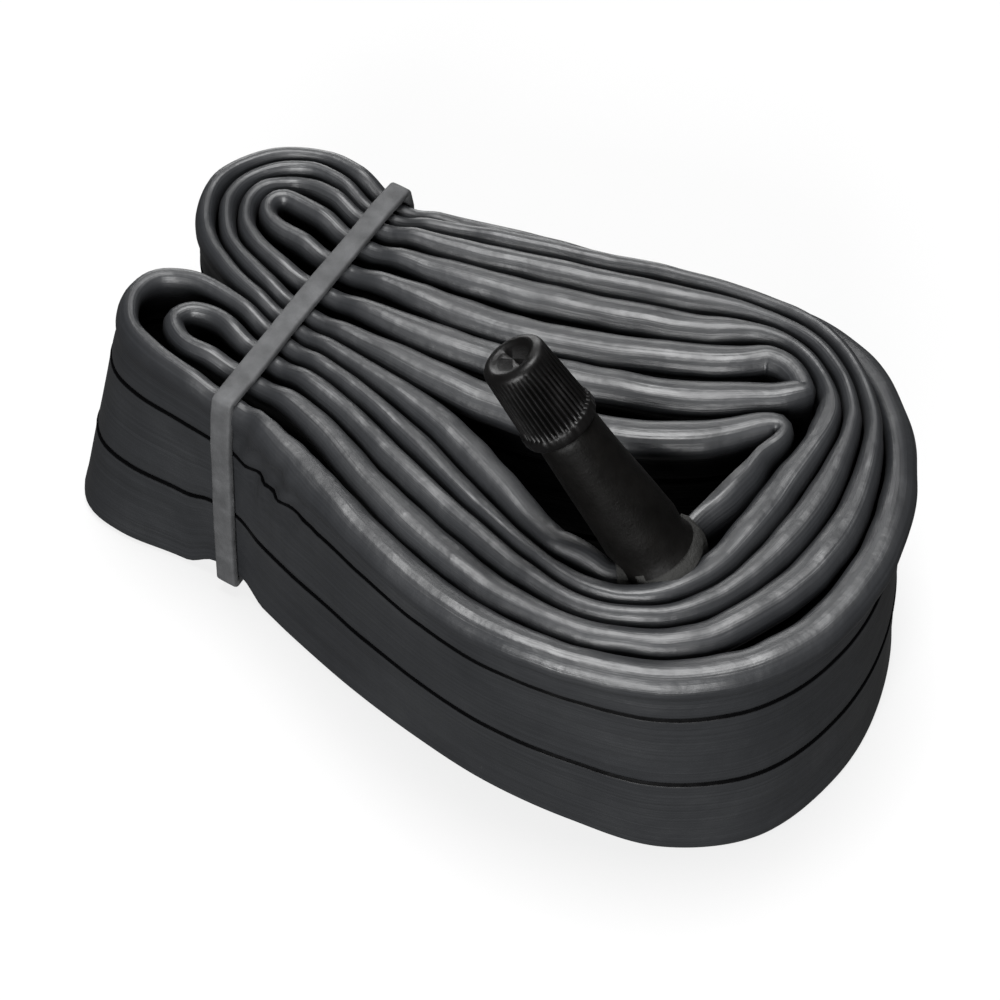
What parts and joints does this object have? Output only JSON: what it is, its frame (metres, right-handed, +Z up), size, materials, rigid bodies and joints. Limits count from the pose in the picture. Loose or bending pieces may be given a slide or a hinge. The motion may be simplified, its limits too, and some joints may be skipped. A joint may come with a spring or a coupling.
{
  "type": "bicycle inner tube",
  "caption": "Flattened bicycle inner tube folded on edge into a bundle and held by a rubber band, with a rubber-covered car-type valve and a knurled screw cap.",
  "frame": {"origin": "middle of the bundle's plan, on the surface it stands on", "axes": "+Z up; +X along the bundle, from the two small folds at the rubber band towards the one wide loop; the valve stands out of the top"},
  "size_m": [0.1126, 0.0714, 0.0673],
  "materials": {
    "butyl_rubber": "satin",
    "pad_rubber": "rough, dusty",
    "stem_rubber": "matte",
    "band_rubber": "matte",
    "seal_rubber": "matte",
    "cap_plastic": "matte, knurled",
    "brass": "machined",
    "pin_steel": "drawn wire"
  },
  "bodies": {
    "bundle": {"tube": "butyl_rubber", "valve_pad": "pad_rubber", "stem_cover": "stem_rubber", "stem_insert": "brass", "core_swivel": "brass", "core_barrel": "brass", "barrel_washer": "seal_rubber", "core_spring": "pin_steel", "rubber_band": "band_rubber"},
    "seal": {"cap_gasket": "seal_rubber"},
    "cap": {"cap_shell": "cap_plastic"},
    "pin": {"core_pin": "pin_steel", "core_cup": "brass", "plunger_washer": "seal_rubber"}
  },
  "joints": [
    {"name": "cap_lift", "type": "slide", "parent": "bundle", "child": "seal", "axis": [-0.5299, -0.125, 0.8388], "range_m": [0, 0.00882]},
    {"name": "cap_turn", "type": "hinge", "parent": "seal", "child": "cap", "pos_m": [0.02996, -0.01239, 0.03601], "axis": [-0.5299, -0.125, 0.8388], "range_deg": [0, 4000]},
    {"name": "pin_press", "type": "slide", "parent": "bundle", "child": "pin", "axis": [0.5299, 0.125, -0.8388], "range_m": [0, 0.0016], "stiffness_N_per_m": 500, "springref_m": -0.003, "deforming": ["core_spring"]}
  ],
  "couplings": [
    {"joint": "cap_turn", "follows": "cap_lift", "rad_per_m": 7916}
  ]
}
